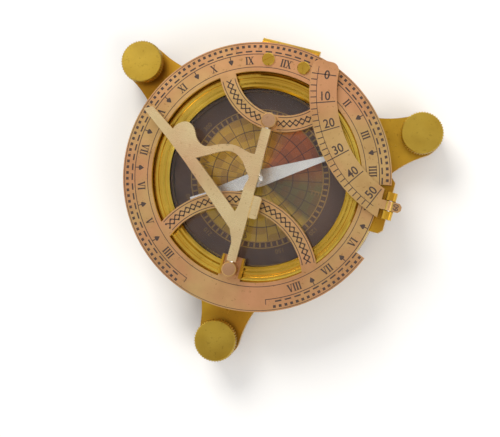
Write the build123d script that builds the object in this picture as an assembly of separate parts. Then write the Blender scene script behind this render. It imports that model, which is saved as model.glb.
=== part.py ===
from build123d import *
import math
import os

# A folding sundial and compass of brass: a bowl on three levelling screws, with a hinged hour ring
# that carries a folding gnomon and a folding latitude arc. Millimetres. The origin is on the bowl's
# axis in the plane of the feet, +Z is up, +Y points at the hour ring's hinge (twelve o'clock) and
# +X at the latitude arc's hinge.

# ---- Driving dimensions: base ----
FOOT_CIRCLE_R = 63.3
ARM_END_R = 8.0
ARM_ROOT_HALF = 14.0
ARM_FLARE_R = 45.0
ARM_THICK = 4.0
ARM_BOTTOM_Z = 6.0
ARM_ANGLES = (30.0, 150.0, 270.0)
BOWL_R = 46.0
BOWL_H = 12.6
BOWL_FLOOR = 2.0
BOWL_BORE_R = 39.0
RIVET_CIRCLE_R = 52.0
RIVET_R = 1.3
RIVET_DOME = 0.3

# ---- Driving dimensions: bezel, glass and compass ----
BEZEL_LIP = 0.6
BEZEL_GROOVE = 0.8
BEZEL_BORE_R = 33.2
GLASS_R = 35.0
GLASS_THICK = 1.6
GLASS_DROP = 2.6
RETAINER_WALL = 1.6
CARD_THICK = 0.8
CARD_GAP = 0.2
PIVOT_R = 0.8
PIVOT_FLANGE_R = 1.9
PIVOT_FLANGE_H = 0.6
PIVOT_H = 3.8
NEEDLE_LEN = 27.4
NEEDLE_HALF = 3.2
NEEDLE_TIP_HALF = 0.8
EDGE_BREAK = 0.25
NEEDLE_THICK = 0.7
NEEDLE_ANGLE = 31.4
NEEDLE_HUB_R = 2.4
NEEDLE_CAP_R = 1.7
POINT_CLEARANCE = 0.1
RUNNING_CLEARANCE = 0.05

# ---- Driving dimensions: hour ring ----
RING_OUTER_R = 50.0
RING_INNER_R = 39.2
RING_THICK = 2.0
RING_GAP = 2.6
NOTCH_R = 45.9
NOTCH_FROM_DEG = -22.0
NOTCH_TO_DEG = 11.0
UPPER_BAR_R = 21.8
UPPER_BAR_APEX_Y = 20.9
UPPER_BAR_WIDTH = 6.0
LOWER_BAR_R = 30.4
LOWER_BAR_APEX_Y = -9.5
LOWER_BAR_WIDTH = 5.8
TONGUE_WIDTH = 8.4
TONGUE_END_Y = -30.4

# ---- Driving dimensions: ring hinge ----
HINGE_Y = 49.2
HINGE_KNUCKLE_R = 1.9
HINGE_DROP = 2.1
HINGE_PIN_R = 1.0
HINGE_WIDTH = 22.0
LEAF_THICK = 1.5
LEAF_START_Y = 38.6
LEAF_KNUCKLE_WIDTH = 10.0
HINGE_SIDE_GAP = 0.15
HINGE_BLOCK_START_Y = 43.6
HINGE_BLOCK_CLEAR = 1.8
LEAF_SCREW_X = 6.75
LEAF_SCREW_Y = 43.2
LEAF_SCREW_R = 1.3
LEAF_SCREW_HEAD_R = 2.35
LEAF_SCREW_HEAD_H = 1.0
SLOT_WIDTH = 0.6
SLOT_DEPTH = 0.5

# ---- Driving dimensions: latitude arc and its hinge ----
ARC_CX = 63.4
ARC_CY = 47.9
ARC_MID_R = 48.6
ARC_WIDTH = 10.0
ARC_THICK = 2.0
ARC_GAP = 1.7
ARC_FREE_DEG = 180.6
ARC_SHOULDER_X = 47.0
ARC_AXIS_X = 50.2
ARC_AXIS_Y = 1.9
ARC_TAIL_WIDTH = 3.4
ARC_TAIL_TIP_X = 54.7
ARC_PIN_R = 0.6
ARC_KNUCKLE_R = 1.6
LUG_GAP = 0.3
LUG_WIDTH = 3.0
LUG_LENGTH = 3.8
BRACKET_THICK = 1.4
BRACKET_START_X = 41.0
SIDE_BLOCK_WIDTH = 21.0
SIDE_BLOCK_OUT_X = 50.0
SIDE_BLOCK_CLEAR = 0.5

# ---- Driving dimensions: gnomon ----
POST_UPPER_Y = 20.9
POST_LOWER_Y = -35.3
POST_UPPER_R = 2.8
POST_LOWER_R = 2.7
AXIS_RISE = 5.4
GNOMON_THICK = 2.2
GNOMON_END_GAP = 0.3
GNOMON_BAR_HALF = 1.7
PIVOT_PIN_R = 0.7
PIVOT_PIN_DEPTH = 2.0
POST_CAP = 2.0
SADDLE_WALL = 0.8
SADDLE_RISE = 1.8
TAB_REACH = 5.0
TAB_FROM_Y = -15.4
TAB_TO_Y = -7.0

# ---- Driving dimensions: levelling screws ----
SHANK_R = 2.5
SHANK_CLEARANCE = 0.06
KNOB_R = 8.0
KNOB_H = 5.0
KNOB_BOTTOM_Z = 14.5
KNOB_RIDGES = 48
KNOB_RIDGE_DEPTH = 0.5
KNOB_CHAMFER = 0.6
FOOT_R = 3.8
FOOT_H = 4.0
FOOT_FLOOR = 1.4
SPIGOT_R = 1.8

# ---- Levels worked out from the dimensions above ----
PLATE_TOP = ARM_BOTTOM_Z + ARM_THICK
BOWL_TOP = PLATE_TOP + BOWL_H
BOWL_FLOOR_TOP = PLATE_TOP + BOWL_FLOOR
RING_BOTTOM = BOWL_TOP + RING_GAP
RING_TOP = RING_BOTTOM + RING_THICK
HINGE_Z = RING_BOTTOM - HINGE_DROP
ARC_BOTTOM = RING_TOP + ARC_GAP
ARC_AXIS_Z = ARC_BOTTOM + ARC_THICK / 2
GNOMON_AXIS_Z = RING_TOP + AXIS_RISE
GLASS_TOP = BOWL_TOP - GLASS_DROP + 1.0
GLASS_BOTTOM = GLASS_TOP - GLASS_THICK
CARD_TOP = BOWL_FLOOR_TOP + CARD_THICK
NEEDLE_Z = BOWL_FLOOR_TOP + PIVOT_H + POINT_CLEARANCE - NEEDLE_THICK


def disc(radius, low, high, x=0.0, y=0.0):
    """An upright cylinder between two levels."""
    return Pos(x, y, (low + high) / 2) * Cylinder(radius, high - low)


def slab(x0, x1, y0, y1, z0, z1):
    """A box between two corners."""
    return Pos((x0 + x1) / 2, (y0 + y1) / 2, (z0 + z1) / 2) * Box(x1 - x0, y1 - y0, z1 - z0)


def plate(face, low, high):
    """A flat outline made a plate between two levels."""
    return extrude(Pos(0, 0, low) * face, high - low, dir=(0, 0, 1))


def rod_x(radius, x0, x1, y, z):
    """A round rod along X."""
    return Pos((x0 + x1) / 2, y, z) * Rot(0, 90, 0) * Cylinder(radius, x1 - x0)


def rod_y(radius, y0, y1, x, z):
    """A round rod along Y."""
    return Pos(x, (y0 + y1) / 2, z) * Rot(90, 0, 0) * Cylinder(radius, y1 - y0)


def polar(radius, degrees, cx=0.0, cy=0.0):
    """A point on a circle."""
    a = math.radians(degrees)
    return (cx + radius * math.cos(a), cy + radius * math.sin(a))


def turned(points):
    """A solid turned about the bowl's axis from (radius, level) points."""
    return revolve(Plane.XZ * make_face(Polyline(*points, close=True)), Axis.Z)


def wedge(from_deg, to_deg, reach):
    """A pie slice from the origin between two directions, for a slice under 180 degrees."""
    middle = (from_deg + to_deg) / 2
    points = [(0, 0), polar(reach, from_deg), polar(reach * 1.2, middle), polar(reach, to_deg)]
    return make_face(Polyline(*points, close=True))


# ---- Base body ----
def arm_outline():
    """One arm of the tripod, along +X, with concave sides that flare into the disc."""
    side = math.sqrt(ARM_FLARE_R**2 - ARM_ROOT_HALF**2)
    neck_x = FOOT_CIRCLE_R - 1.0
    root = (side, ARM_ROOT_HALF)
    middle = ((root[0] + neck_x) / 2 - 0.6, (ARM_ROOT_HALF + ARM_END_R) / 2 - 1.3)
    upper = ThreePointArc(root, middle, (neck_x, ARM_END_R))
    tip = ThreePointArc((neck_x, ARM_END_R), (neck_x + ARM_END_R, 0), (neck_x, -ARM_END_R))
    lower = ThreePointArc((neck_x, -ARM_END_R), (middle[0], -middle[1]), (root[0], -root[1]))
    back = Polyline((root[0], -root[1]), (0, -ARM_ROOT_HALF), (0, ARM_ROOT_HALF), root)
    return make_face([upper, tip, lower, back])


def tripod_base():
    body = disc(BOWL_R, ARM_BOTTOM_Z, PLATE_TOP)
    for angle in ARM_ANGLES:
        body += Rot(0, 0, angle) * plate(arm_outline(), ARM_BOTTOM_Z, PLATE_TOP)
    for angle in ARM_ANGLES:
        x, y = polar(FOOT_CIRCLE_R, angle)
        body -= disc(SHANK_R + SHANK_CLEARANCE, ARM_BOTTOM_Z - 1, PLATE_TOP + 1, x, y)
        x, y = polar(RIVET_CIRCLE_R, angle)
        body -= disc(RIVET_R, ARM_BOTTOM_Z - 1, PLATE_TOP + 1, x, y)
    return body


def arm_rivets():
    group = []
    for angle in ARM_ANGLES:
        x, y = polar(RIVET_CIRCLE_R, angle)
        group.append(disc(RIVET_R, ARM_BOTTOM_Z, PLATE_TOP + RIVET_DOME, x, y))
    return group


def compass_bowl():
    foot_groove = 0.8
    body = turned([
        (0, PLATE_TOP),
        (BOWL_R - foot_groove, PLATE_TOP),
        (BOWL_R - foot_groove, PLATE_TOP + 1.6),
        (BOWL_R, PLATE_TOP + 2.4),
        (BOWL_R, BOWL_TOP - 0.5),
        (BOWL_R - 0.5, BOWL_TOP),
        (BOWL_BORE_R, BOWL_TOP),
        (BOWL_BORE_R, BOWL_FLOOR_TOP),
        (0, BOWL_FLOOR_TOP),
    ])
    body -= slab(-HINGE_WIDTH / 2, HINGE_WIDTH / 2, HINGE_BLOCK_START_Y, BOWL_R + 5, PLATE_TOP, BOWL_TOP + 1)
    seat = SIDE_BLOCK_WIDTH / 2
    low, high = ARC_AXIS_Y - seat, ARC_AXIS_Y + seat
    return body - slab(SIDE_SEAT_X, BOWL_R + 5, low, high, PLATE_TOP, BOWL_TOP + 1)


def bezel_ring():
    ledge = GLASS_R
    return turned([
        (BEZEL_BORE_R, CARD_TOP + 0.4),
        (BOWL_BORE_R, CARD_TOP + 0.4),
        (BOWL_BORE_R, BOWL_TOP + BEZEL_LIP - 0.9),
        (BOWL_BORE_R - 0.9, BOWL_TOP + BEZEL_LIP),
        (BOWL_BORE_R - 1.6, BOWL_TOP + BEZEL_LIP),
        (BOWL_BORE_R - 1.8, BOWL_TOP + BEZEL_LIP - BEZEL_GROOVE),
        (BOWL_BORE_R - 2.3, BOWL_TOP + BEZEL_LIP - BEZEL_GROOVE),
        (BOWL_BORE_R - 2.5, BOWL_TOP + BEZEL_LIP - 0.2),
        (ledge + 0.6, BOWL_TOP + BEZEL_LIP - 0.2),
        (ledge, BOWL_TOP + BEZEL_LIP - 0.8),
        (ledge, GLASS_BOTTOM),
        (BEZEL_BORE_R, GLASS_BOTTOM),
    ])


def glass_retaining_ring():
    inner = GLASS_R - RETAINER_WALL
    return turned([
        (inner, GLASS_TOP),
        (GLASS_R, GLASS_TOP),
        (GLASS_R, GLASS_TOP + 1.0),
        (inner + 0.8, GLASS_TOP + 1.0),
        (inner, GLASS_TOP + 0.4),
    ])


def ring_hinge_block():
    half = HINGE_WIDTH / 2
    top = RING_BOTTOM - HINGE_BLOCK_CLEAR
    slot = LEAF_KNUCKLE_WIDTH / 2 + HINGE_SIDE_GAP
    body = slab(-half, half, HINGE_BLOCK_START_Y, HINGE_Y, PLATE_TOP, top)
    body += rod_x(HINGE_KNUCKLE_R, -half, half, HINGE_Y, HINGE_Z)
    swept = HINGE_KNUCKLE_R + 0.3
    body -= rod_x(swept, -slot, slot, HINGE_Y, HINGE_Z)
    body -= slab(-slot, slot, HINGE_Y - swept, HINGE_Y + swept, HINGE_Z, RING_BOTTOM)
    return body - rod_x(HINGE_PIN_R, -half - 1, half + 1, HINGE_Y, HINGE_Z)


def ring_hinge_pin():
    half = HINGE_WIDTH / 2
    return rod_x(HINGE_PIN_R, -half, half, HINGE_Y, HINGE_Z)


def side_block():
    seat = SIDE_BLOCK_WIDTH / 2
    top = ARC_BRACKET_BOTTOM - SIDE_BLOCK_CLEAR
    low, high = ARC_AXIS_Y - seat, ARC_AXIS_Y + seat
    body = slab(SIDE_SEAT_X, SIDE_BLOCK_OUT_X, low, high, PLATE_TOP, top)
    outer = body.edges().filter_by(Axis.Z).sort_by(Axis.X)[-2:]
    return chamfer(outer, 1.5)


SIDE_SEAT_X = 44.2
ARC_BRACKET_BOTTOM = RING_BOTTOM - BRACKET_THICK


# ---- Compass ----
def compass_card():
    return disc(BEZEL_BORE_R - CARD_GAP, BOWL_FLOOR_TOP, CARD_TOP) - disc(
        PIVOT_R, BOWL_FLOOR_TOP - 1, CARD_TOP + 1
    )


def needle_pivot():
    top = BOWL_FLOOR_TOP + PIVOT_H
    return disc(PIVOT_R, BOWL_FLOOR_TOP, top) + disc(
        PIVOT_FLANGE_R, CARD_TOP, CARD_TOP + PIVOT_FLANGE_H
    )


def compass_needle():
    """A long kite of steel with a hub that a blind socket centres on the pivot."""
    tip = NEEDLE_LEN
    end = NEEDLE_TIP_HALF
    outline = Polyline(
        (tip, end), (0, NEEDLE_HALF), (8.0 - tip, end + 0.4), (8.0 - tip, end), (-tip, end),
        (-tip, -end), (8.0 - tip, -end), (8.0 - tip, -end - 0.4), (0, -NEEDLE_HALF), (tip, -end),
        close=True,
    )
    blade = plate(make_face(outline), NEEDLE_Z, NEEDLE_Z + NEEDLE_THICK)
    hub = disc(NEEDLE_HUB_R, NEEDLE_Z - 1.2, NEEDLE_Z + NEEDLE_THICK)
    body = Rot(0, 0, NEEDLE_ANGLE) * (blade + hub)
    return body - disc(PIVOT_R + RUNNING_CLEARANCE, NEEDLE_Z - 2, NEEDLE_Z + NEEDLE_THICK)


def needle_cap():
    low = NEEDLE_Z + NEEDLE_THICK
    return turned([(0, low), (NEEDLE_CAP_R, low), (NEEDLE_CAP_R * 0.8, low + 0.6), (0, low + 0.9)])


# ---- Hour ring ----
def crossbar(centre_y, mid_r, width, low, high):
    """A curved bar, cut off inside the ring."""
    band = disc(mid_r + width / 2, low, high, 0, centre_y)
    band -= disc(mid_r - width / 2, low - 1, high + 1, 0, centre_y)
    return band & disc(RING_INNER_R + 0.6, low, high)


def hour_ring():
    body = disc(RING_OUTER_R, RING_BOTTOM, RING_TOP)
    cut = wedge(NOTCH_FROM_DEG, NOTCH_TO_DEG, RING_OUTER_R * 1.4)
    notch = plate(cut, RING_BOTTOM - 1, RING_TOP + 1)
    body -= notch - disc(NOTCH_R, RING_BOTTOM - 2, RING_TOP + 2)
    body -= disc(RING_INNER_R, RING_BOTTOM - 1, RING_TOP + 1)
    upper_cy = UPPER_BAR_APEX_Y + UPPER_BAR_R
    lower_cy = LOWER_BAR_APEX_Y - LOWER_BAR_R
    body += crossbar(upper_cy, UPPER_BAR_R, UPPER_BAR_WIDTH, RING_BOTTOM, RING_TOP)
    body += crossbar(lower_cy, LOWER_BAR_R, LOWER_BAR_WIDTH, RING_BOTTOM, RING_TOP)
    half = TONGUE_WIDTH / 2
    body += slab(-half, half, -RING_INNER_R - 0.6, TONGUE_END_Y, RING_BOTTOM, RING_TOP)
    for side in (-1, 1):
        hole = disc(LEAF_SCREW_R, RING_BOTTOM - 1, RING_TOP + 1, side * LEAF_SCREW_X, LEAF_SCREW_Y)
        body -= hole
    return body


def ring_hinge_leaf():
    half = HINGE_WIDTH / 2
    knuckle = LEAF_KNUCKLE_WIDTH / 2
    low = RING_BOTTOM - LEAF_THICK
    body = slab(-half, half, LEAF_START_Y, HINGE_Y - HINGE_DROP - 0.5, low, RING_BOTTOM)
    body += slab(-knuckle, knuckle, LEAF_START_Y, HINGE_Y, low, RING_BOTTOM)
    body += rod_x(HINGE_KNUCKLE_R, -knuckle, knuckle, HINGE_Y, HINGE_Z)
    body -= rod_x(HINGE_PIN_R + RUNNING_CLEARANCE, -half, half, HINGE_Y, HINGE_Z)
    body -= disc(RING_INNER_R + 0.6, low - 1, RING_BOTTOM + 1)
    for side in (-1, 1):
        body -= disc(LEAF_SCREW_R, low - 1, RING_BOTTOM + 1, side * LEAF_SCREW_X, LEAF_SCREW_Y)
    return body


def leaf_screws():
    group = []
    for side, turn in ((-1, 38.0), (1, 100.0)):
        x = side * LEAF_SCREW_X
        screw = disc(LEAF_SCREW_R, RING_BOTTOM - LEAF_THICK, RING_TOP, x, LEAF_SCREW_Y)
        top = RING_TOP + LEAF_SCREW_HEAD_H
        head = disc(LEAF_SCREW_HEAD_R, RING_TOP, top, x, LEAF_SCREW_Y)
        head = chamfer(head.edges().sort_by(Axis.Z)[-1], 0.3)
        slot = Rot(0, 0, turn) * Box(LEAF_SCREW_HEAD_R * 3, SLOT_WIDTH, SLOT_DEPTH * 2)
        group.append(screw + head - Pos(x, LEAF_SCREW_Y, top) * slot)
    return group


def gnomon_post(y, radius, side):
    """A turned post with a blind hole for the gnomon's pivot on the side that faces it."""
    top = GNOMON_AXIS_Z + POST_CAP
    body = disc(radius, RING_TOP, top, 0, y)
    body = chamfer(body.edges().sort_by(Axis.Z)[-1], 0.35)
    inner = y + side * (radius - PIVOT_PIN_DEPTH - RUNNING_CLEARANCE)
    outer = y + side * (radius + 1)
    hole = rod_y(PIVOT_PIN_R + RUNNING_CLEARANCE, min(inner, outer), max(inner, outer), 0, GNOMON_AXIS_Z)
    return body - hole


def post_saddle():
    """A shallow channel of sheet brass that the lower post stands in, with walls up both sides."""
    half = TONGUE_WIDTH / 2
    body = []
    for side in (-1, 1):
        inner, outer = side * (half - SADDLE_WALL), side * half
        x0, x1 = min(inner, outer), max(inner, outer)
        body.append(slab(x0, x1, -38.0, TONGUE_END_Y, RING_TOP, RING_TOP + SADDLE_RISE))
    return body


def arc_bracket():
    """The latitude arc's bearing: a plate under the ring's notch with two upright lugs."""
    half = ARC_TAIL_WIDTH / 2 + LUG_GAP
    low, high = ARC_AXIS_Y - half - LUG_WIDTH, ARC_AXIS_Y + half + LUG_WIDTH
    body = slab(BRACKET_START_X, ARC_AXIS_X + LUG_LENGTH / 2, low, high, ARC_BRACKET_BOTTOM, RING_BOTTOM)
    top = ARC_AXIS_Z + ARC_KNUCKLE_R
    for y0 in (low, high - LUG_WIDTH):
        x0, x1 = ARC_AXIS_X - LUG_LENGTH / 2, ARC_AXIS_X + LUG_LENGTH / 2
        lug = slab(x0, x1, y0, y0 + LUG_WIDTH, RING_BOTTOM, top)
        lug = fillet(lug.edges().filter_by(Axis.Y).group_by(Axis.Z)[-1], 1.2)
        body += lug
    return body - rod_y(ARC_PIN_R, low - 1, high + 1, ARC_AXIS_X, ARC_AXIS_Z)


def arc_hinge_pin():
    half = ARC_TAIL_WIDTH / 2 + LUG_GAP + LUG_WIDTH
    return rod_y(ARC_PIN_R, ARC_AXIS_Y - half, ARC_AXIS_Y + half, ARC_AXIS_X, ARC_AXIS_Z)


# ---- Latitude arc ----
def latitude_arc():
    """A curved band with a shoulder and a tail that turns on the pin between the lugs."""
    outer, inner = ARC_MID_R + ARC_WIDTH / 2, ARC_MID_R - ARC_WIDTH / 2
    high = ARC_BOTTOM + ARC_THICK
    band = disc(outer, ARC_BOTTOM, high, ARC_CX, ARC_CY) - disc(
        inner, ARC_BOTTOM - 1, high + 1, ARC_CX, ARC_CY
    )
    corner = polar(outer * 1.5, ARC_FREE_DEG, ARC_CX, ARC_CY)
    keep = Polyline(
        (ARC_CX, ARC_CY), corner, (corner[0], ARC_CY - 90), (ARC_SHOULDER_X, ARC_CY - 90),
        (ARC_SHOULDER_X, ARC_CY - 20), close=True,
    )
    body = band & plate(make_face(keep), ARC_BOTTOM, high)
    free = body.edges().filter_by(Axis.Z).sort_by(Axis.Y)[-2:]
    body = fillet(free, ARC_WIDTH * 0.3)
    half = ARC_TAIL_WIDTH / 2
    tip = ARC_TAIL_TIP_X
    tail = Polyline(
        (ARC_SHOULDER_X - 3, ARC_AXIS_Y - half), (tip - 1, ARC_AXIS_Y - half),
        (tip, ARC_AXIS_Y - half + 1), (tip, ARC_AXIS_Y + half - 1),
        (tip - 1, ARC_AXIS_Y + half), (ARC_SHOULDER_X - 3, ARC_AXIS_Y + half), close=True,
    )
    body += plate(make_face(tail), ARC_BOTTOM, high)
    body += rod_y(ARC_KNUCKLE_R, ARC_AXIS_Y - half, ARC_AXIS_Y + half, ARC_AXIS_X, ARC_AXIS_Z)
    hole = ARC_PIN_R + RUNNING_CLEARANCE
    return body - rod_y(hole, ARC_AXIS_Y - 9, ARC_AXIS_Y + 9, ARC_AXIS_X, ARC_AXIS_Z)


# ---- Gnomon ----
def gnomon_plate():
    """A pierced plate: the axis bar between the posts, a slanting style and a wavy link."""
    low, high = GNOMON_AXIS_Z - GNOMON_THICK / 2, GNOMON_AXIS_Z + GNOMON_THICK / 2
    half = GNOMON_BAR_HALF
    top_y = POST_UPPER_Y - POST_UPPER_R - GNOMON_END_GAP
    low_y = POST_LOWER_Y + POST_LOWER_R + GNOMON_END_GAP
    bar = slab(-half, half, low_y, top_y, low, high)
    style = make_face([
        Polyline((-3.4, -14.4), (-8.0, -10.6), (-20.6, -0.4), (-24.6, 2.4), (-27.6, 5.2)),
        Polyline((-27.6, 5.2), (-43.0, 15.3), (-46.0, 13.6), (-34.1, 4.9), (-25.6, -1.9),
                 (-3.6, -20.8), (-1.2, -26.5), (0.4, -26.5), (0.4, -14.4), (-3.4, -14.4)),
    ])
    link_top = Spline((-33.5, 9.0), (-31.6, 11.8), (-28.6, 12.9), (-25.9, 11.3), (-24.2, 8.3), (-21.0, 6.0),
                      (-16.8, 7.2), (-12.2, 8.8), (-7.2, 8.6), (-2.6, 7.6), (0.2, 9.0))
    link_low = Spline((0.2, -2.6), (-1.7, -0.9), (-3.6, 1.6), (-5.8, 4.4), (-8.2, 6.0), (-11.2, 6.4),
                      (-15.0, 5.0), (-18.5, 3.0), (-22.3, 1.0), (-25.6, -0.6))
    link = make_face([
        link_top,
        Line((0.2, 9.0), (0.2, -2.6)),
        link_low,
        Line((-25.6, -0.6), (-33.5, 9.0)),
    ])
    body = bar + plate(style, low, high) + plate(link, low, high)
    body += gnomon_gusset(low, high)
    body += stop_tab(low)
    hole = rod_y(PIVOT_PIN_R, top_y - PIVOT_PIN_DEPTH, top_y + 1, 0, GNOMON_AXIS_Z)
    hole += rod_y(PIVOT_PIN_R, low_y - 1, low_y + PIVOT_PIN_DEPTH, 0, GNOMON_AXIS_Z)
    return body - hole


def gnomon_gusset(low, high):
    """The bar's thickened foot, where the style and the link run into it."""
    edge = make_face([
        Spline((0.2, 0.0), (-1.9, -2.6), (-2.5, -5.6), (-2.6, -10.0), (-3.4, -14.4)),
        Polyline((-3.4, -14.4), (0.4, -14.4), (0.2, 0.0)),
    ])
    return plate(edge, low, high)


def stop_tab(low):
    """A lip on the bar's free side that meets the lower crossbar when the gnomon stands up."""
    tab = slab(0, TAB_REACH, TAB_FROM_Y, TAB_TO_Y, low, low + GNOMON_THICK * 0.6)
    corner = tab.edges().filter_by(Axis.Z).sort_by(Axis.X)[-2:]
    tab = fillet(corner, 1.2)
    lip = slab(TAB_REACH - 1.0, TAB_REACH, TAB_FROM_Y + 1.2, TAB_TO_Y - 1.2, low, low + GNOMON_THICK * 1.3)
    return tab + lip


def gnomon_pivot_pins():
    top_y = POST_UPPER_Y - POST_UPPER_R - GNOMON_END_GAP
    low_y = POST_LOWER_Y + POST_LOWER_R + GNOMON_END_GAP
    reach = GNOMON_END_GAP + PIVOT_PIN_DEPTH - RUNNING_CLEARANCE
    return [
        rod_y(PIVOT_PIN_R, top_y - PIVOT_PIN_DEPTH, top_y + reach, 0, GNOMON_AXIS_Z),
        rod_y(PIVOT_PIN_R, low_y - reach, low_y + PIVOT_PIN_DEPTH, 0, GNOMON_AXIS_Z),
    ]


# ---- Levelling screws ----
def levelling_knob(x, y):
    """A knurled thumb head with its shank and the spigot that turns in the foot."""
    points = []
    for i in range(2 * KNOB_RIDGES):
        radius = KNOB_R - (i % 2) * KNOB_RIDGE_DEPTH
        points.append(polar(radius, 180.0 * i / KNOB_RIDGES))
    top = KNOB_BOTTOM_Z + KNOB_H
    head = plate(make_face(Polyline(*points, close=True)), KNOB_BOTTOM_Z, top)
    c = KNOB_CHAMFER
    head &= turned([
        (0, KNOB_BOTTOM_Z), (KNOB_R - c, KNOB_BOTTOM_Z), (KNOB_R + 0.1, KNOB_BOTTOM_Z + c),
        (KNOB_R + 0.1, top - c), (KNOB_R - c, top), (0, top),
    ])
    neck = turned([
        (0, KNOB_BOTTOM_Z - 1.6), (SHANK_R, KNOB_BOTTOM_Z - 1.6), (SHANK_R + 1.2, KNOB_BOTTOM_Z),
        (0, KNOB_BOTTOM_Z),
    ])
    shank = disc(SHANK_R, FOOT_H + 0.5, KNOB_BOTTOM_Z)
    spigot = disc(SPIGOT_R, FOOT_FLOOR + RUNNING_CLEARANCE, FOOT_H + 0.5)
    return Pos(x, y, 0) * (head + neck + shank + spigot)


def levelling_foot(x, y):
    """The swivel foot that stays still while the screw turns in it."""
    body = turned([
        (0, 0), (FOOT_R - 0.4, 0), (FOOT_R, 0.4), (FOOT_R, FOOT_H - 1.0), (FOOT_R - 1.0, FOOT_H), (0, FOOT_H),
    ])
    body -= disc(SPIGOT_R + RUNNING_CLEARANCE, FOOT_FLOOR, FOOT_H + 1)
    return Pos(x, y, 0) * body


NODES = {
    "tripod_base": tripod_base(),
    "arm_rivets": arm_rivets(),
    "compass_bowl": compass_bowl(),
    "bezel_ring": bezel_ring(),
    "glass_window": disc(GLASS_R, GLASS_BOTTOM, GLASS_TOP),
    "glass_retaining_ring": glass_retaining_ring(),
    "compass_card": compass_card(),
    "needle_pivot": needle_pivot(),
    "ring_hinge_block": ring_hinge_block(),
    "ring_hinge_pin": ring_hinge_pin(),
    "side_block": side_block(),
    "compass_needle": compass_needle(),
    "needle_cap": needle_cap(),
    "hour_ring": hour_ring(),
    "ring_hinge_leaf": ring_hinge_leaf(),
    "leaf_screws": leaf_screws(),
    "gnomon_post_upper": gnomon_post(POST_UPPER_Y, POST_UPPER_R, -1),
    "gnomon_post_lower": gnomon_post(POST_LOWER_Y, POST_LOWER_R, 1),
    "post_saddle": post_saddle(),
    "arc_bracket": arc_bracket(),
    "arc_hinge_pin": arc_hinge_pin(),
    "latitude_arc": latitude_arc(),
    "gnomon_plate": gnomon_plate(),
    "gnomon_pivot_pins": gnomon_pivot_pins(),
}
for letter, angle in zip("abc", ARM_ANGLES):
    foot_x, foot_y = polar(FOOT_CIRCLE_R, angle)
    NODES[f"levelling_knob_{letter}"] = levelling_knob(foot_x, foot_y)
    NODES[f"levelling_foot_{letter}"] = levelling_foot(foot_x, foot_y)

os.makedirs("parts", exist_ok=True)
for name, shape in NODES.items():
    solids = shape if isinstance(shape, list) else [shape]
    export_step(Compound(children=[s for piece in solids for s in piece.solids()]), f"parts/{name}.step")
    print(name, sum(len(piece.solids()) for piece in solids))
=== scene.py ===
# %% [markdown]
# # A folding brass sundial with a compass
# The frame brings every piece at its real size. This notebook gives each piece its finish,
# cuts the scales and numbers into the hour ring and the latitude arc, prints the compass card,
# and sets a plain pale studio. Lengths are in metres; `MM` turns millimetres into metres.

# %% Load the frame
import bpy
import bmesh
import math
from mathutils import Matrix, Vector


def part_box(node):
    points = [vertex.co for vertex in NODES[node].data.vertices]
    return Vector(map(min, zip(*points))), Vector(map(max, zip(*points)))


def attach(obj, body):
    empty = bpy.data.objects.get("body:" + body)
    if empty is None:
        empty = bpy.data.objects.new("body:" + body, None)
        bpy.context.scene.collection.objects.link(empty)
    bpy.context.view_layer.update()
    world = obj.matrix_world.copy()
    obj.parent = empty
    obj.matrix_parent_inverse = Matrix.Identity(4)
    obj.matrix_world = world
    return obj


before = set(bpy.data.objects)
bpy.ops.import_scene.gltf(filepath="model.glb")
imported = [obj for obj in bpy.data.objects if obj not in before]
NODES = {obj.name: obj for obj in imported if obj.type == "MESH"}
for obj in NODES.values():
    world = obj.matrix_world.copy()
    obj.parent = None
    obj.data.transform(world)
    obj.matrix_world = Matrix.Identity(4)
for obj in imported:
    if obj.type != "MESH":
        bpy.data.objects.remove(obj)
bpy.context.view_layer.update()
MM = 0.001

# %% [markdown]
# ## Where things are
# Every level comes from a piece's own box, so that the marks stay on the metal if the frame
# changes. The arc's plate lies at the middle height of its box, so its top is half the plate's
# thickness above that. Radii and angles along a scale are measures of that scale, set beside it.

# %% Levels from the frame
RING_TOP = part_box("hour_ring")[1].z
card_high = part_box("compass_card")[1]
CARD_R = card_high.x
CARD_TOP = card_high.z
arc_low, arc_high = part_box("latitude_arc")
ARC_HALF_THICKNESS = 1.0 * MM
ARC_TOP = arc_low.z + (arc_high.z - arc_low.z) / 2 + ARC_HALF_THICKNESS
print("ring top", round(RING_TOP / MM, 2), "arc top", round(ARC_TOP / MM, 2))


# %% [markdown]
# ## Small helpers for shader trees
# A material is a tree of nodes. These helpers add a node, set its sockets and join two sockets, so
# each finish below reads as a short recipe. `noise` gives a cloud whose patches shrink as its scale
# grows.

# %% Shader helpers
def node(tree, kind, **values):
    made = tree.nodes.new(kind)
    for key, value in values.items():
        setattr(made, key, value)
    return made


def join(tree, start, end):
    tree.links.new(start, end)


def maths(tree, operation, a, b=0.0, c=0.0):
    made = node(tree, "ShaderNodeMath", operation=operation)
    for socket, value in zip(made.inputs, (a, b, c)):
        if isinstance(value, (int, float)):
            socket.default_value = value
        else:
            join(tree, value, socket)
    return made.outputs[0]


def mix(tree, factor, first, second):
    made = node(tree, "ShaderNodeMix", data_type="RGBA")
    for socket, value in zip((made.inputs[0], made.inputs[6], made.inputs[7]), (factor, first, second)):
        if isinstance(value, (int, float)):
            socket.default_value = value
        elif isinstance(value, tuple):
            socket.default_value = (*value, 1.0)
        else:
            join(tree, value, socket)
    return made.outputs[2]


def between(tree, value):
    """Holds a value between 0 and 1."""
    return maths(tree, "MINIMUM", maths(tree, "MAXIMUM", value, 0.0), 1.0)


def noise(tree, place, scale, detail=2.0):
    made = node(tree, "ShaderNodeTexNoise")
    join(tree, place, made.inputs["Vector"])
    made.inputs["Scale"].default_value = scale
    made.inputs["Detail"].default_value = detail
    return made.outputs[0]


def linear(red, green, blue):
    """A screen colour, 0 to 255, as the linear colour that Blender mixes."""
    def one(v):
        v /= 255
        return v / 12.92 if v <= 0.04045 else ((v + 0.055) / 1.055) ** 2.4
    return (one(red), one(green), one(blue))


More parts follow.
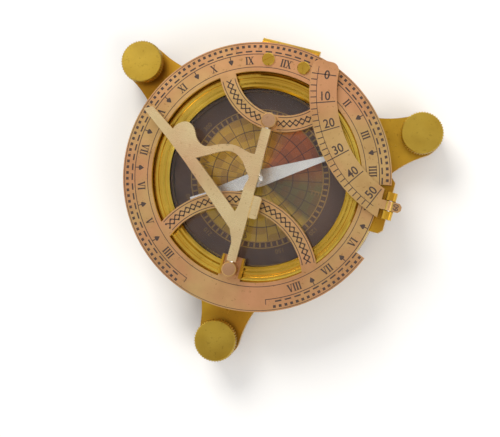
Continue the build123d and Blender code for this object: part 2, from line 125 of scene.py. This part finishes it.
# %% [markdown]
# ## Tarnish, handling marks, fine scratches and a painted edge highlight
# Old lacquered brass is never one colour. Broad patches shift between two tones, clouds darken it,
# small spots collect tarnish, and wiping leaves hair-fine scratches. Faces that don't look up or
# down take a lighter colour, a painted highlight along the edges. All the metal shares one node group with
# named inputs,
# because one tree is easier to correct than seven, and each finish sets its own amounts.

# %% The wear and painted edge highlight group
PATCH_SCALE, CLOUD_SCALE, SPOT_SCALE = 34, 90, 900
FLAT_LIMIT = 0.9
SPOT_LIMIT = 0.66
WIPE_TURN = 0.5
WIPE_STRETCH = (260, 6500, 900)
DULL_ROUGH, SCRATCH_ROUGH = 0.16, 0.08


def wear_group():
    tree = bpy.data.node_groups.new("metal_wear_and_edge_highlight", "ShaderNodeTree")
    face = tree.interface
    for name, kind, value in (
        ("Colour", "NodeSocketColor", (0.8, 0.6, 0.2, 1)),
        ("Patch Colour", "NodeSocketColor", (0.8, 0.5, 0.3, 1)),
        ("Painted Highlight Colour", "NodeSocketColor", (0.8, 0.6, 0.2, 1)),
        ("Tarnish", "NodeSocketColor", (0.3, 0.2, 0.05, 1)),
        ("Cloud", "NodeSocketFloat", 0.4),
        ("Spots", "NodeSocketFloat", 0.3),
        ("Roughness", "NodeSocketFloat", 0.25),
    ):
        socket = face.new_socket(name=name, in_out="INPUT", socket_type=kind)
        socket.default_value = value
    face.new_socket(name="Colour", in_out="OUTPUT", socket_type="NodeSocketColor")
    face.new_socket(name="Roughness", in_out="OUTPUT", socket_type="NodeSocketFloat")
    face.new_socket(name="Height", in_out="OUTPUT", socket_type="NodeSocketFloat")
    start = node(tree, "NodeGroupInput")
    end = node(tree, "NodeGroupOutput")
    place = node(tree, "ShaderNodeTexCoord").outputs["Object"]
    facing = node(tree, "ShaderNodeSeparateXYZ")
    join(tree, node(tree, "ShaderNodeTexCoord").outputs["Normal"], facing.inputs[0])
    # Side faces, whose normals point neither up nor down, get the lighter edge colour: a painted highlight.
    edge = maths(tree, "LESS_THAN", maths(tree, "ABSOLUTE", facing.outputs[2]), FLAT_LIMIT)
    patch = noise(tree, place, PATCH_SCALE, 3)
    patch_mask = between(tree, maths(tree, "MULTIPLY_ADD", patch, 5.0, -2.0))
    ground = mix(tree, patch_mask, start.outputs["Colour"], start.outputs["Patch Colour"])
    ground = mix(tree, edge, ground, start.outputs["Painted Highlight Colour"])
    cloud = noise(tree, place, CLOUD_SCALE, 5)
    speck = noise(tree, place, SPOT_SCALE, 3)
    stretch = node(tree, "ShaderNodeMapping")
    stretch.inputs["Rotation"].default_value = (0, 0, WIPE_TURN)
    stretch.inputs["Scale"].default_value = WIPE_STRETCH
    join(tree, place, stretch.inputs["Vector"])
    scratch = noise(tree, stretch.outputs[0], 1)
    cloud_mask = maths(tree, "MULTIPLY_ADD", cloud, 2.6, -0.9)
    cloud_mask = maths(tree, "SMOOTH_MAX", cloud_mask, 0.0, 0.1)
    cloud_mask = maths(tree, "MINIMUM", maths(tree, "MULTIPLY", cloud_mask, start.outputs["Cloud"]), 1.0)
    speck_mask = maths(tree, "GREATER_THAN", speck, SPOT_LIMIT)
    speck_mask = maths(tree, "MULTIPLY", speck_mask, start.outputs["Spots"])
    dull = maths(tree, "MINIMUM", maths(tree, "ADD", cloud_mask, speck_mask), 1.0)
    join(tree, mix(tree, dull, ground, start.outputs["Tarnish"]), end.inputs["Colour"])
    rough = maths(tree, "MULTIPLY_ADD", dull, DULL_ROUGH, start.outputs["Roughness"])
    rough = maths(tree, "MULTIPLY_ADD", scratch, SCRATCH_ROUGH, rough)
    join(tree, rough, end.inputs["Roughness"])
    height = maths(tree, "MULTIPLY_ADD", speck, -0.5, scratch)
    join(tree, height, end.inputs["Height"])
    return tree


WEAR_AND_HIGHLIGHT = wear_group()
print("wear group", len(WEAR_AND_HIGHLIGHT.nodes), "nodes")


# %% [markdown]
# ## The finishes of the metal
# The bowl is bright, the knobs are satin, the plate is yellow, and the ring and arc are rosier. Each
# finish is the shared wear with its own colours: the metal, its patches, the painted highlight on its
# edges and its tarnish, then the amounts of cloud, spots, roughness and bump.

# %% Brass and steel finishes
BUMP_DEPTH = 0.05 * MM


def new_material(name):
    made = bpy.data.materials.new(name)
    made.use_nodes = True
    return made, made.node_tree, made.node_tree.nodes["Principled BSDF"]


def worn_metal(name, colour, patch, edge, tarnish, cloud, spots, rough, bump):
    """A metal with wear and a painted edge highlight from the shared group."""
    made, tree, shader = new_material(name)
    wear = node(tree, "ShaderNodeGroup", node_tree=WEAR_AND_HIGHLIGHT)
    wear.inputs["Colour"].default_value = (*colour, 1)
    wear.inputs["Patch Colour"].default_value = (*patch, 1)
    # The edge colour is a painted highlight on the side faces.
    wear.inputs["Painted Highlight Colour"].default_value = (*edge, 1)
    wear.inputs["Tarnish"].default_value = (*tarnish, 1)
    wear.inputs["Cloud"].default_value = cloud
    wear.inputs["Spots"].default_value = spots
    wear.inputs["Roughness"].default_value = rough
    join(tree, wear.outputs["Colour"], shader.inputs["Base Color"])
    join(tree, wear.outputs["Roughness"], shader.inputs["Roughness"])
    shader.inputs["Metallic"].default_value = 1.0
    bumped = node(tree, "ShaderNodeBump")
    bumped.inputs["Strength"].default_value = bump
    bumped.inputs["Distance"].default_value = BUMP_DEPTH
    join(tree, wear.outputs["Height"], bumped.inputs["Height"])
    join(tree, bumped.outputs[0], shader.inputs["Normal"])
    return made


# Each edge colour below is lighter than its metal: a painted highlight on the side faces.
EDGE_HIGHLIGHT_YELLOW = linear(236, 204, 96)
BRIGHT = worn_metal("bright_brass", linear(224, 184, 74), linear(206, 160, 58), linear(236, 200, 84),
                    linear(120, 84, 24), 0.4, 0.2, 0.13, 0.25)
SATIN = worn_metal("satin_brass", linear(184, 152, 60), linear(168, 132, 42), linear(206, 172, 70),
                   linear(104, 80, 28), 0.45, 0.25, 0.32, 0.5)
PLATE = worn_metal("yellow_plate_brass", linear(204, 158, 50), linear(188, 134, 40), linear(222, 180, 72),
                   linear(122, 84, 24), 0.45, 0.3, 0.26, 0.4)
ROSE = worn_metal("rose_brass", linear(204, 166, 108), linear(206, 148, 104), EDGE_HIGHLIGHT_YELLOW,
                  linear(134, 98, 56), 0.5, 0.35, 0.27, 0.45)
PALE = worn_metal("pale_polished_brass", linear(226, 200, 148), linear(216, 172, 128), EDGE_HIGHLIGHT_YELLOW,
                  linear(150, 112, 64), 0.35, 0.3, 0.22, 0.4)
POST = worn_metal("polished_rose_brass", linear(206, 160, 120), linear(190, 140, 96), linear(214, 170, 104),
                  linear(120, 80, 46), 0.35, 0.3, 0.16, 0.3)
STEEL = worn_metal("needle_steel", linear(232, 226, 216), linear(214, 208, 198), linear(240, 240, 240),
                   linear(130, 124, 116), 0.25, 0.2, 0.2, 0.25)
print("metal finishes", [m.name for m in (BRIGHT, SATIN, PLATE, ROSE, PALE, POST, STEEL)])


# %% [markdown]
# ## Black-filled engraving
# The maker cuts the numbers and rings, rubs black wax into them and wipes the face clean. Here each
# mark is a very thin solid set in the metal, so it shows in the mesh and rides with its piece. The
# window is clear glass, with a lower refraction than real glass so that the card shifts less.

# %% Engraving wax and window glass
def wax_material():
    made, tree, shader = new_material("engraving_wax")
    place = node(tree, "ShaderNodeTexCoord").outputs["Object"]
    shade = mix(tree, noise(tree, place, 700), linear(26, 16, 10), linear(74, 48, 30))
    join(tree, shade, shader.inputs["Base Color"])
    shader.inputs["Roughness"].default_value = 0.6
    return made


def glass_material():
    made, _, shader = new_material("window_glass")
    shader.inputs["Base Color"].default_value = (1, 1, 1, 1)
    shader.inputs["Roughness"].default_value = 0.02
    shader.inputs["IOR"].default_value = 1.3
    shader.inputs["Transmission Weight"].default_value = 1.0
    return made


WAX = wax_material()
GLASS = glass_material()


def finish(name, material):
    """Gives a frame node its material."""
    slots = NODES[name].material_slots
    if not slots:
        NODES[name].data.materials.append(material)
    for slot in slots:
        slot.material = material


for name in NODES:
    if name.startswith("levelling"):
        finish(name, SATIN)
for name in ("compass_bowl", "bezel_ring", "glass_retaining_ring", "leaf_screws"):
    finish(name, BRIGHT)
for name in ("tripod_base", "arm_rivets", "ring_hinge_block", "side_block", "ring_hinge_leaf",
             "arc_bracket", "post_saddle"):
    finish(name, PLATE)
for name in ("hour_ring", "latitude_arc"):
    finish(name, ROSE)
finish("gnomon_plate", PALE)
for name in ("gnomon_post_upper", "gnomon_post_lower"):
    finish(name, POST)
for name in ("compass_needle", "needle_cap", "needle_pivot", "arc_hinge_pin", "ring_hinge_pin",
             "gnomon_pivot_pins"):
    finish(name, STEEL)
finish("glass_window", GLASS)
print("finished", len(NODES) - 1, "nodes; the card is printed further down")


# %% [markdown]
# ## Marks as thin solids
# A mark is an outline raised by a hair above the metal. `Marks` collects outlines and makes them one
# mesh: straight bars, polygons and letters all end as prisms with their own top and sides.

# %% The mark collector
INLAY = 0.04 * MM
ARC_STEP = 2.0


def on_circle(radius, degrees):
    a = math.radians(degrees)
    return Vector((radius * math.cos(a), radius * math.sin(a)))


class Marks:
    def __init__(self):
        self.bm = bmesh.new()

    def prism(self, points, top):
        """A closed prism from a flat outline that runs counter-clockwise."""
        upper = [self.bm.verts.new((x, y, top)) for x, y in points]
        lower = [self.bm.verts.new((x, y, top - INLAY * 2)) for x, y in points]
        self.bm.faces.new(upper)
        self.bm.faces.new(lower[::-1])
        n = len(points)
        for i in range(n):
            j = (i + 1) % n
            self.bm.faces.new((upper[i], lower[i], lower[j], upper[j]))

    def bar(self, a, b, width, top):
        """A straight bar between two flat points."""
        along = (b - a).normalized()
        side = Vector((-along.y, along.x)) * width / 2
        self.prism([(a - side)[:], (b - side)[:], (b + side)[:], (a + side)[:]], top)

    def arc(self, centre, radius, start, end, width, top):
        """A curved line as a row of prisms that share their ends."""
        n = max(2, int(abs(end - start) / ARC_STEP))
        low, high = radius - width / 2, radius + width / 2
        outer = [centre + on_circle(high, start + (end - start) * i / n) for i in range(n + 1)]
        inner = [centre + on_circle(low, start + (end - start) * i / n) for i in range(n + 1)]
        for i in range(n):
            quad = (outer[i], outer[i + 1], inner[i + 1], inner[i])
            self.prism([p[:] for p in quad], top)

    def letters(self, text, size, place, turn, top, bold=0.0, squeeze=1.0):
        """Adds text whose middle is at a flat point, turned by an angle in degrees."""
        curve = bpy.data.curves.new("letters", "FONT")
        curve.body = text
        curve.size = size
        curve.align_x = "CENTER"
        curve.align_y = "CENTER"
        curve.offset = bold
        curve.resolution_u = 3
        curve.extrude = INLAY
        maker = bpy.data.objects.new("letters", curve)
        bpy.context.collection.objects.link(maker)
        bpy.context.view_layer.update()
        graph = bpy.context.evaluated_depsgraph_get()
        mesh = bpy.data.meshes.new_from_object(maker.evaluated_get(graph))
        xs = [v.co.x for v in mesh.vertices]
        ys = [v.co.y for v in mesh.vertices]
        middle = Vector(((max(xs) + min(xs)) / 2, (max(ys) + min(ys)) / 2, 0))
        spot = Matrix.Translation((place[0], place[1], top - INLAY))
        spin = Matrix.Rotation(math.radians(turn), 4, "Z")
        mesh.transform(spot @ spin @ Matrix.Diagonal((squeeze, 1, 1, 1)) @ Matrix.Translation(-middle))
        self.bm.from_mesh(mesh)
        bpy.data.objects.remove(maker)
        bpy.data.curves.remove(curve)
        bpy.data.meshes.remove(mesh)

    def piece(self, name, material, body):
        bmesh.ops.recalc_face_normals(self.bm, faces=self.bm.faces)
        mesh = bpy.data.meshes.new(name)
        self.bm.to_mesh(mesh)
        self.bm.free()
        mesh.materials.append(material)
        made = bpy.data.objects.new(name, mesh)
        bpy.context.collection.objects.link(made)
        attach(made, body)
        print(name, len(mesh.polygons), "faces")


# %% [markdown]
# ## Roman numerals
# A typeface with even strokes looks printed, not cut. Each numeral is built from broad and narrow
# bars with serif lines, as a graver leaves them. Widths are shares of the numeral's height.

# %% Roman numerals cut with a broad and a narrow graver
def roman(marks, text, height, place, turn, top):
    """Serifed numerals: each letter is a few strokes, broad or narrow, between two serif lines."""
    broad, narrow, gap, serif = 0.2 * height, 0.09 * height, 0.13 * height, 0.17 * height
    widths = {"I": 0.26 * height, "V": 0.62 * height, "X": 0.62 * height}
    total = sum(widths[c] for c in text) + gap * (len(text) - 1)
    spin = Matrix.Rotation(math.radians(turn), 2)
    half = height / 2
    x = -total / 2

    def stroke(a, b, width):
        marks.bar(place + spin @ Vector(a), place + spin @ Vector(b), width, top)

    for letter in text:
        w = widths[letter]
        middle = x + w / 2
        if letter == "I":
            stroke((middle, -half), (middle, half), broad)
            feet = [(middle, half), (middle, -half)]
        elif letter == "V":
            stroke((x + 0.1 * w, half), (middle, -half), broad)
            stroke((x + 0.9 * w, half), (middle, -half), narrow)
            feet = [(x + 0.1 * w, half), (x + 0.9 * w, half)]
        else:
            stroke((x + 0.1 * w, half), (x + 0.9 * w, -half), broad)
            stroke((x + 0.9 * w, half), (x + 0.1 * w, -half), narrow)
            feet = [(x + share * w, y) for y in (half, -half) for share in (0.1, 0.9)]
        for fx, fy in feet:
            stroke((fx - serif, fy), (fx + serif, fy), narrow * 0.8)
        x += w + gap


# %% [markdown]
# ## The hour ring's scale
# Twelve stands at the hinge. The hours run both ways round the ring, a fixed step apart, with four
# dashes to each hour, a row of square dots outside them and a small spade at each half hour. The
# step is the same all round. A loop places each kind of mark, since each is a few faces on a circle.
# The dots, the dashes and the line by the rim leave out the rim's notch.

# %% Hour numbers and scale
HOUR_STEP = 18.2
DASHES_PER_HOUR, DASHES_EACH_WAY = 4, 34
NUMERAL_R, NUMERAL_H = 43.1 * MM, 2.7 * MM
SPADE_R = 43.6 * MM
DOT_STEP, DOT_WIDTH = 2.57, 1.05 * MM
DOT_INNER, DOT_OUTER = 47.85 * MM, 48.85 * MM
DASH_R, DASH_WIDTH, DASH_HALF_ANGLE = 46.5 * MM, 0.55 * MM, 1.5
SCALE_REACH = 159.0
SCALE_START, SCALE_END = 90 - SCALE_REACH - 1.5, 90 + SCALE_REACH + 1.5
morning = ["XI", "X", "IX", "VIII", "VII", "VI", "V", "IIII"]
evening = ["I", "II", "III", "IIII", "V", "VI", "VII", "VIII"]
NOTCH = (-22.0, 11.0)
NOTCH_MARGIN = 0.5
CENTRE = Vector((0, 0))


def in_notch(degrees):
    turn = (degrees + 180) % 360 - 180
    return NOTCH[0] - NOTCH_MARGIN < turn < NOTCH[1] + NOTCH_MARGIN


def spade(marks, degrees, radius):
    """A half-hour mark: a small spade whose stem runs out to the scale."""
    out = on_circle(1, degrees)
    side = Vector((-out.y, out.x))
    shape = [(-1.4, 0), (-0.55, 0.62), (0.05, 0.95), (0.5, 0.8), (0.6, 0.2), (1.8, 0.14)]
    outline = [(p, q) for p, q in shape] + [(p, -q) for p, q in shape[::-1][:-1]]
    points = [(out * (radius + p * MM) + side * q * MM)[:] for p, q in outline]
    marks.prism(points[::-1], RING_TOP + INLAY)


scale = Marks()
top = RING_TOP + INLAY
for hours, sign in ((morning, 1), (evening, -1)):
    for i, text in enumerate(hours):
        degrees = 90 + sign * HOUR_STEP * (i + 1)
        roman(scale, text, NUMERAL_H, on_circle(NUMERAL_R, degrees), degrees + 90, top)
        half = degrees - sign * HOUR_STEP / 2
        spade(scale, half, SPADE_R)
roman(scale, "XII", NUMERAL_H, on_circle(NUMERAL_R, 90), 180, top)
for dot in range(int(SCALE_REACH / DOT_STEP) + 1):
    for sign in (1, -1):
        degrees = 90 + sign * dot * DOT_STEP
        if not in_notch(degrees) and (dot or sign == 1):
            scale.bar(on_circle(DOT_INNER, degrees), on_circle(DOT_OUTER, degrees), DOT_WIDTH, top)
for i in range(-DASHES_EACH_WAY, DASHES_EACH_WAY + 1):
    degrees = 90 + i * HOUR_STEP / DASHES_PER_HOUR
    if not in_notch(degrees):
        a, b = (on_circle(DASH_R, degrees + way * DASH_HALF_ANGLE) for way in (-1, 1))
        scale.bar(a, b, DASH_WIDTH, top)
scale.arc(CENTRE, 49.45 * MM, NOTCH[1] + 0.6, 360 + NOTCH[0] - 0.6, 0.2 * MM, top)
scale.arc(CENTRE, 45.5 * MM, SCALE_START, SCALE_END, 0.28 * MM, top)
scale.arc(CENTRE, 40.7 * MM, 0, 360, 0.24 * MM, top)
for degrees in (SCALE_START, SCALE_END):
    scale.bar(on_circle(45.4 * MM, degrees), on_circle(47.4 * MM, degrees), 0.25 * MM, top)
scale.piece("hour_ring_engraving", WAX, "hour_ring")


# %% [markdown]
# ## Crossbar ornament
# Each crossbar has two border lines and between them a chain of little crosses and dots. It follows
# the bar's own arc, given by its centre and radius, and leaves the bar's middle bare.

# %% Chain pattern on the crossbars
BORDER_LINE, CROSS_LINE = 0.28 * MM, 0.42 * MM
CROSS_REACH, HALF_DOT = 1.0 * MM, 0.34 * MM
UPPER_CENTRE, UPPER_R, UPPER_WIDTH = Vector((0, 42.7)) * MM, 21.8 * MM, 4.6 * MM
LOWER_CENTRE, LOWER_R, LOWER_WIDTH = Vector((0, -39.9)) * MM, 30.4 * MM, 4.4 * MM


def chain(marks, centre, radius, start, end, width, count):
    for edge in (-1, 1):
        marks.arc(centre, radius + edge * width / 2, start, end, BORDER_LINE, top)
    for i in range(count):
        degrees = start + (end - start) * (i + 0.5) / count
        middle = centre + on_circle(radius, degrees)
        out = on_circle(1, degrees)
        side = Vector((-out.y, out.x))
        for a, b in ((out + side, -out - side), (out - side, side - out)):
            marks.bar(middle + a * CROSS_REACH, middle + b * CROSS_REACH, CROSS_LINE, top)
        step = (end - start) / count / 2
        for edge in (-1, 1):
            spot = centre + on_circle(radius + edge * CROSS_REACH, degrees + step)
            d = HALF_DOT
            marks.prism([(spot.x - d, spot.y - d), (spot.x + d, spot.y - d),
                         (spot.x + d, spot.y + d), (spot.x - d, spot.y + d)], top)


ornament = Marks()
for start, end in ((209, 263), (277, 331)):
    chain(ornament, UPPER_CENTRE, UPPER_R, start, end, UPPER_WIDTH, 9)
for start, end in ((27, 85), (95, 153)):
    chain(ornament, LOWER_CENTRE, LOWER_R, start, end, LOWER_WIDTH, 13)
ornament.piece("crossbar_ornament", WAX, "hour_ring")


# %% [markdown]
# ## The latitude scale
# Numbers from 0 to 60 run from the free end to the hinge, with a tick every two degrees on the convex
# edge and a full line every ten. Each number but the first stands just before its line. The last one is
# small, because it is cut on the narrow tail.

# %% Latitude numbers
ARC_C = Vector((63.4, 47.9)) * MM
LAT_ZERO, LAT_STEP = 186.5, 12.06
OUT_R, IN_R, TICK_R = 53.2 * MM, 44.2 * MM, 51.0 * MM
TICK_WIDTH, BORDER_WIDTH = 0.36 * MM, 0.22 * MM
NUMBER_R, NUMBER_SIZE, NUMBER_BACK = 47.6 * MM, 4.6 * MM, 2.7
TAIL_SPOT, TAIL_SIZE = Vector((52.6, 1.9)) * MM, 2.8 * MM
latitude = Marks()
lat_top = ARC_TOP + INLAY
for unit in range(0, 52, 2):
    degrees = LAT_ZERO + unit * LAT_STEP / 10
    inner = IN_R if unit % 10 == 0 else TICK_R
    latitude.bar(ARC_C + on_circle(inner, degrees), ARC_C + on_circle(OUT_R, degrees), TICK_WIDTH, lat_top)
for number in range(0, 60, 10):
    degrees = LAT_ZERO + number * LAT_STEP / 10 - (NUMBER_BACK if number else 0.0)
    place = ARC_C + on_circle(NUMBER_R, degrees)
    latitude.letters(str(number), NUMBER_SIZE, place, degrees - 180, lat_top, 0.07 * MM, 0.9)
latitude.letters("60", TAIL_SIZE, TAIL_SPOT, 90, lat_top, 0.05 * MM, 0.9)
latitude.arc(ARC_C, TICK_R, 183.5, 248.5, BORDER_WIDTH, lat_top)
latitude.piece("latitude_engraving", WAX, "latitude_arc")


# %% [markdown]
# ## The compass card
# The card is printed paper behind glass: a dark degree ring, and a rose whose sectors are yellow,
# rust and olive. The colours are worked out from the angle and radius of each point.

# %% Card print
GOLD_PRINT = linear(150, 112, 44)
DARK_PRINT = linear(50, 22, 8)
RING_INNER, RING_OUTER = 0.73, 0.80
TICK_LOW, TICK_HIGH = 0.74, 0.79
ROSE_LINES = (0.2, 0.38, 0.56)


def card_material():
    made, tree, shader = new_material("compass_card_print")
    place = node(tree, "ShaderNodeTexCoord").outputs["Object"]
    split = node(tree, "ShaderNodeSeparateXYZ")
    join(tree, place, split.inputs[0])
    x, y = split.outputs[0], split.outputs[1]
    radius = maths(tree, "DIVIDE", maths(tree, "SQRT", maths(
        tree, "ADD", maths(tree, "MULTIPLY", x, x), maths(tree, "MULTIPLY", y, y))), CARD_R)
    angle = maths(tree, "ARCTAN2", y, x)
    cloud = noise(tree, place, 60, 4)

    def sector(direction, sharp):
        """A soft mask that is 1 where the angle points in a direction in degrees."""
        away = maths(tree, "COSINE", maths(tree, "SUBTRACT", angle, math.radians(direction)))
        return between(tree, maths(tree, "MULTIPLY_ADD", away, sharp, 0.5 - 0.45 * sharp))

    def circle(line, half_width):
        """A mask that is 1 along a thin circle."""
        away = maths(tree, "ABSOLUTE", maths(tree, "SUBTRACT", radius, line))
        return maths(tree, "LESS_THAN", away, half_width)

    def rays(count, sharp):
        """A mask that is 1 along a count of rays from the middle."""
        wave = maths(tree, "COSINE", maths(tree, "MULTIPLY", angle, count))
        return maths(tree, "GREATER_THAN", wave, sharp)

    ground = mix(tree, sector(145, 2.0), linear(196, 96, 26), linear(206, 158, 28))
    ground = mix(tree, sector(318, 2.2), ground, linear(104, 92, 34))
    ground = mix(tree, sector(268, 7.0), ground, linear(204, 164, 34))
    ground = mix(tree, maths(tree, "MULTIPLY", cloud, 0.5), ground, linear(84, 44, 14))
    quarter = maths(tree, "MULTIPLY", maths(tree, "SINE", maths(tree, "MULTIPLY", angle, 8.0)),
                    maths(tree, "SINE", maths(tree, "MULTIPLY", radius, 34.0)))
    checks = maths(tree, "MULTIPLY", maths(tree, "GREATER_THAN", quarter, 0.12), 0.35)
    ground = mix(tree, checks, ground, linear(112, 56, 14))
    rose = mix(tree, maths(tree, "MULTIPLY", rays(32.0, 0.96), 0.7), ground, DARK_PRINT)
    for line in ROSE_LINES:
        rose = mix(tree, maths(tree, "MULTIPLY", circle(line, 0.007), 0.7), rose, DARK_PRINT)
    tick_zone = maths(tree, "MULTIPLY", maths(tree, "GREATER_THAN", radius, TICK_LOW),
                      maths(tree, "LESS_THAN", radius, TICK_HIGH))
    band = mix(tree, cloud, linear(58, 34, 20), linear(92, 58, 30))
    outer = mix(tree, maths(tree, "MULTIPLY", rays(72.0, 0.6), tick_zone), band, GOLD_PRINT)
    whole = mix(tree, maths(tree, "GREATER_THAN", radius, RING_INNER), rose, outer)
    for line in (RING_INNER, RING_OUTER):
        whole = mix(tree, circle(line, 0.006), whole, GOLD_PRINT)
    join(tree, whole, shader.inputs["Base Color"])
    shader.inputs["Roughness"].default_value = 0.5
    return made


finish("compass_card", card_material())
print("card radius", round(CARD_R / MM, 2), "card top", round(CARD_TOP / MM, 2))

# %% [markdown]
# ## Letters on the card
# A compass card carries the four quarters and the degrees. They are plain printed marks.

# %% Card letters
QUARTER_R, QUARTER_SIZE = 0.66 * CARD_R, 4.4 * MM
DEGREE_R, DEGREE_SIZE = 0.86 * CARD_R, 2.4 * MM
card_marks = Marks()
for text, degrees in (("N", 90), ("E", 0), ("S", 270), ("W", 180)):
    spot = on_circle(QUARTER_R, degrees)
    card_marks.letters(text, QUARTER_SIZE, spot, degrees - 90, CARD_TOP + INLAY, 0.06 * MM)
for degrees in range(0, 360, 30):
    if degrees % 90:
        spot = on_circle(DEGREE_R, 90 - degrees)
        card_marks.letters(str(degrees), DEGREE_SIZE, spot, -degrees, CARD_TOP + INLAY, 0.03 * MM)


def ink_material():
    made, tree, shader = new_material("card_ink")
    place = node(tree, "ShaderNodeTexCoord").outputs["Object"]
    shade = mix(tree, noise(tree, place, 400), GOLD_PRINT, linear(104, 72, 30))
    join(tree, shade, shader.inputs["Base Color"])
    shader.inputs["Roughness"].default_value = 0.55
    return made


card_marks.piece("card_letters", ink_material(), "base")


# %% [markdown]
# ## Floor and light
# Polished metal shows what stands round it, so a small lamp would leave it dark with hard spots. A
# plain pale floor, two large soft lamps and a pale sky keep it readable.

# %% Studio
FLOOR_HALF, FLOOR_DROP = 1.2, 0.00005
SKY_COLOUR, SKY_STRENGTH = (0.93, 0.95, 1.0, 1), 0.75


def stage_floor():
    mesh = bpy.data.meshes.new("floor")
    half = FLOOR_HALF
    corners = [(-half, -half, 0), (half, -half, 0), (half, half, 0), (-half, half, 0)]
    mesh.from_pydata(corners, [], [(0, 1, 2, 3)])
    made, _, shader = new_material("pale_floor")
    shader.inputs["Base Color"].default_value = (*linear(236, 234, 230), 1)
    shader.inputs["Roughness"].default_value = 0.9
    mesh.materials.append(made)
    floor = bpy.data.objects.new("floor", mesh)
    bpy.context.collection.objects.link(floor)
    floor.location.z = -FLOOR_DROP


def lamp(name, place, size, energy, colour):
    data = bpy.data.lights.new(name, "AREA")
    data.size = size
    data.energy = energy
    data.color = colour
    made = bpy.data.objects.new(name, data)
    made.location = place
    made.rotation_euler = (-Vector(place)).to_track_quat("-Z", "Y").to_euler()
    bpy.context.collection.objects.link(made)


def studio():
    stage_floor()
    world = bpy.data.worlds.new("sky")
    world.use_nodes = True
    world.node_tree.nodes["Background"].inputs[0].default_value = SKY_COLOUR
    world.node_tree.nodes["Background"].inputs[1].default_value = SKY_STRENGTH
    bpy.context.scene.world = world
    lamp("window_light", (-0.45, 0.55, 0.75), 0.5, 7.0, (1.0, 0.98, 0.95))
    lamp("fill_light", (0.6, -0.25, 0.8), 0.6, 3.5, (1.0, 0.97, 0.93))
    bpy.context.scene.view_settings.view_transform = "Standard"


studio()
print("lamps", len(bpy.data.lights))

# %% [markdown]
# ## The camera
# The camera looks almost straight down, as one reads a dial, and is turned a little about its own
# line of sight. The focal length is given in widths of the frame, which holds for any sensor.

# %% Camera
CAMERA_AT = Vector((59.35, -13.98, 500.0)) * MM
LOOK_AT = Vector((1.77, -15.5, 26.0)) * MM
ROLL = 0.263
FOCAL_WIDTHS = 2.5788
SENSOR_WIDTH = 36
camera_data = bpy.data.cameras.new("camera")
camera_data.sensor_fit = "HORIZONTAL"
camera_data.sensor_width = SENSOR_WIDTH
camera_data.lens = SENSOR_WIDTH * FOCAL_WIDTHS
camera = bpy.data.objects.new("camera", camera_data)
forward = (LOOK_AT - CAMERA_AT).normalized()
guide = Vector((-math.sin(ROLL), math.cos(ROLL), 0))
right = forward.cross(guide).normalized()
upward = right.cross(forward)
turn = Matrix((right, upward, -forward)).transposed().to_4x4()
camera.matrix_world = Matrix.Translation(CAMERA_AT) @ turn
bpy.context.collection.objects.link(camera)
bpy.context.scene.camera = camera
print("lens", round(camera_data.lens, 1), "mm")
